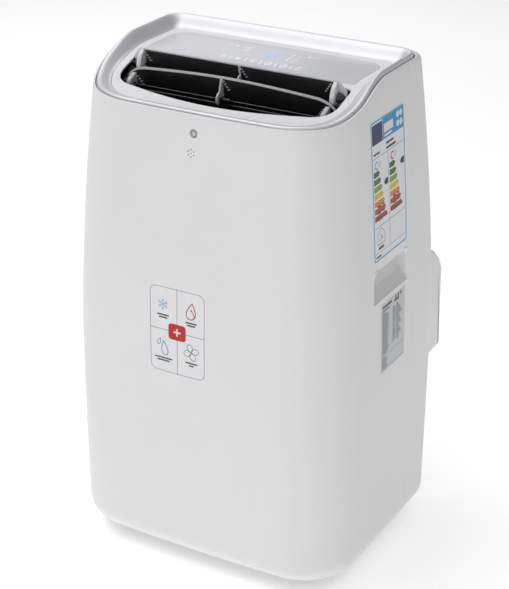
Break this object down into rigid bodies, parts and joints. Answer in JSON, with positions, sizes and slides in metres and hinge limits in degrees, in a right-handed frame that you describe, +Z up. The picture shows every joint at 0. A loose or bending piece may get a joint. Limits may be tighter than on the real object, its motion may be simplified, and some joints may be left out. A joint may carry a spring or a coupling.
{
  "type": "portable air conditioner",
  "caption": "Tapered white portable air conditioner on castors, with two open top louvers, a dished control ring, side hand grips, rear filters and a round exhaust port.",
  "frame": {"origin": "centre of the bounding box in plan, on the floor under the castors", "axes": "+Z up, -Y towards the front with the receiver window, +X to the side with the energy label"},
  "size_m": [0.467, 0.3974, 0.7677],
  "materials": {
    "white_shell": "white moulded ABS, fine satin",
    "silver_ring": "silver painted plastic, satin",
    "overlay": "light grey gloss overlay",
    "board": "circuit board with lacquer",
    "black_plastic": "black moulded plastic, satin",
    "dark_plastic": "dark grey moulded plastic",
    "grey_plastic": "grey moulded plastic",
    "smoked_lens": "smoked clear plastic, gloss",
    "steel": "plated sheet steel",
    "black_paint": "black paint, semi-gloss",
    "copper": "drawn copper tube, dulled",
    "fins": "aluminium fin stack",
    "foam": "dense moulded foam plastic",
    "rubber": "black rubber, matt",
    "filter_net": "nylon filter net"
  },
  "bodies": {
    "casing": {"front_cover": "white_shell", "rear_cover": "white_shell", "top_frame": "silver_ring", "top_panel": "white_shell", "control_overlay": "overlay", "control_board": "board", "display_module": "black_plastic", "receiver_lens": "smoked_lens", "outlet_duct": "black_plastic", "louver_motor": "steel", "base_pan": "dark_plastic", "compressor": "black_paint", "compressor_mount_1": "rubber", "compressor_mount_2": "rubber", "compressor_mount_3": "rubber", "accumulator": "black_paint", "evaporator": "fins", "condenser": "fins", "discharge_pipe": "copper", "suction_pipe": "copper", "capillary": "copper", "condensate_tray": "foam", "upper_scroll": "foam", "upper_scroll_cover": "foam", "upper_blower_motor": "steel", "lower_scroll": "foam", "lower_scroll_cover": "foam", "lower_blower_motor": "steel", "exhaust_duct": "foam", "exhaust_hood": "white_shell", "cord_gland": "black_plastic", "electrical_box": "steel"},
    "front_louver": {"front_louver_skin": "silver_ring", "front_louver_frame": "black_plastic"},
    "rear_louver": {"rear_louver_skin": "silver_ring", "rear_louver_frame": "black_plastic"},
    "louver_link": {"louver_link": "dark_plastic"},
    "upper_blower": {"upper_blower_wheel": "dark_plastic", "upper_blower_shaft": "steel"},
    "lower_blower": {"lower_blower_wheel": "dark_plastic", "lower_blower_shaft": "steel"},
    "upper_filter": {"upper_filter_grille": "white_shell", "upper_filter_mesh": "filter_net"},
    "lower_filter": {"lower_filter_grille": "white_shell", "lower_filter_mesh": "filter_net"},
    "hose_collar": {"hose_collar": "grey_plastic"},
    "upper_drain_cap": {"upper_drain_cap": "grey_plastic"},
    "lower_drain_plug": {"lower_drain_plug": "grey_plastic"},
    "castor_swivel_front_left": {"castor_fork_front_left": "dark_plastic", "castor_axle_front_left": "steel"},
    "castor_roller_front_left": {"castor_wheel_front_left": "rubber"},
    "castor_swivel_front_right": {"castor_fork_front_right": "dark_plastic", "castor_axle_front_right": "steel"},
    "castor_roller_front_right": {"castor_wheel_front_right": "rubber"},
    "castor_swivel_rear_left": {"castor_fork_rear_left": "dark_plastic", "castor_axle_rear_left": "steel"},
    "castor_roller_rear_left": {"castor_wheel_rear_left": "rubber"},
    "castor_swivel_rear_right": {"castor_fork_rear_right": "dark_plastic", "castor_axle_rear_right": "steel"},
    "castor_roller_rear_right": {"castor_wheel_rear_right": "rubber"}
  },
  "joints": [
    {"name": "front_louver_hinge", "type": "hinge", "parent": "casing", "child": "front_louver", "pos_m": [0, -0.09143, 0.7155], "axis": [1, 0, 0], "range_deg": [0, 100]},
    {"name": "rear_louver_hinge", "type": "hinge", "parent": "casing", "child": "rear_louver", "pos_m": [0, -0.06013, 0.7352], "axis": [1, 0, 0], "range_deg": [0, 100]},
    {"name": "louver_link_hinge", "type": "hinge", "parent": "front_louver", "child": "louver_link", "pos_m": [-0.1726, -0.09451, 0.70704], "axis": [1, 0, 0], "range_deg": [-100, 0]},
    {"name": "upper_blower_spin", "type": "hinge", "parent": "casing", "child": "upper_blower", "pos_m": [-0.02, -0.05783, 0.56], "axis": [0, 1, 0], "continuous": true},
    {"name": "lower_blower_spin", "type": "hinge", "parent": "casing", "child": "lower_blower", "pos_m": [0.096, 0.02217, 0.172], "axis": [0, 1, 0], "continuous": true},
    {"name": "upper_filter_slide", "type": "slide", "parent": "casing", "child": "upper_filter", "axis": [0, 1, 0], "range_m": [0, 0.06]},
    {"name": "lower_filter_slide", "type": "slide", "parent": "casing", "child": "lower_filter", "axis": [0, 1, 0], "range_m": [0, 0.06]},
    {"name": "hose_collar_slide", "type": "slide", "parent": "casing", "child": "hose_collar", "axis": [0, 1, 0], "range_m": [0, 0.04]},
    {"name": "upper_drain_cap_pull", "type": "slide", "parent": "casing", "child": "upper_drain_cap", "axis": [0, 1, 0], "range_m": [0, 0.03]},
    {"name": "lower_drain_plug_pull", "type": "slide", "parent": "casing", "child": "lower_drain_plug", "axis": [0, 1, 0], "range_m": [0, 0.03]},
    {"name": "castor_swivel_front_left", "type": "hinge", "parent": "casing", "child": "castor_swivel_front_left", "pos_m": [-0.15, -0.11283, 0.045], "axis": [0, 0, 1], "continuous": true},
    {"name": "castor_roll_front_left", "type": "hinge", "parent": "castor_swivel_front_left", "child": "castor_roller_front_left", "pos_m": [-0.15, -0.10083, 0.017], "axis": [1, 0, 0], "continuous": true},
    {"name": "castor_swivel_front_right", "type": "hinge", "parent": "casing", "child": "castor_swivel_front_right", "pos_m": [0.15, -0.11283, 0.045], "axis": [0, 0, 1], "continuous": true},
    {"name": "castor_roll_front_right", "type": "hinge", "parent": "castor_swivel_front_right", "child": "castor_roller_front_right", "pos_m": [0.15, -0.10083, 0.017], "axis": [1, 0, 0], "continuous": true},
    {"name": "castor_swivel_rear_left", "type": "hinge", "parent": "casing", "child": "castor_swivel_rear_left", "pos_m": [-0.15, 0.07217, 0.045], "axis": [0, 0, 1], "continuous": true},
    {"name": "castor_roll_rear_left", "type": "hinge", "parent": "castor_swivel_rear_left", "child": "castor_roller_rear_left", "pos_m": [-0.15, 0.08417, 0.017], "axis": [1, 0, 0], "continuous": true},
    {"name": "castor_swivel_rear_right", "type": "hinge", "parent": "casing", "child": "castor_swivel_rear_right", "pos_m": [0.15, 0.07217, 0.045], "axis": [0, 0, 1], "continuous": true},
    {"name": "castor_roll_rear_right", "type": "hinge", "parent": "castor_swivel_rear_right", "child": "castor_roller_rear_right", "pos_m": [0.15, 0.08417, 0.017], "axis": [1, 0, 0], "continuous": true}
  ],
  "couplings": [
    {"joint": "rear_louver_hinge", "follows": "front_louver_hinge", "ratio": 1},
    {"joint": "louver_link_hinge", "follows": "front_louver_hinge", "ratio": -1}
  ]
}
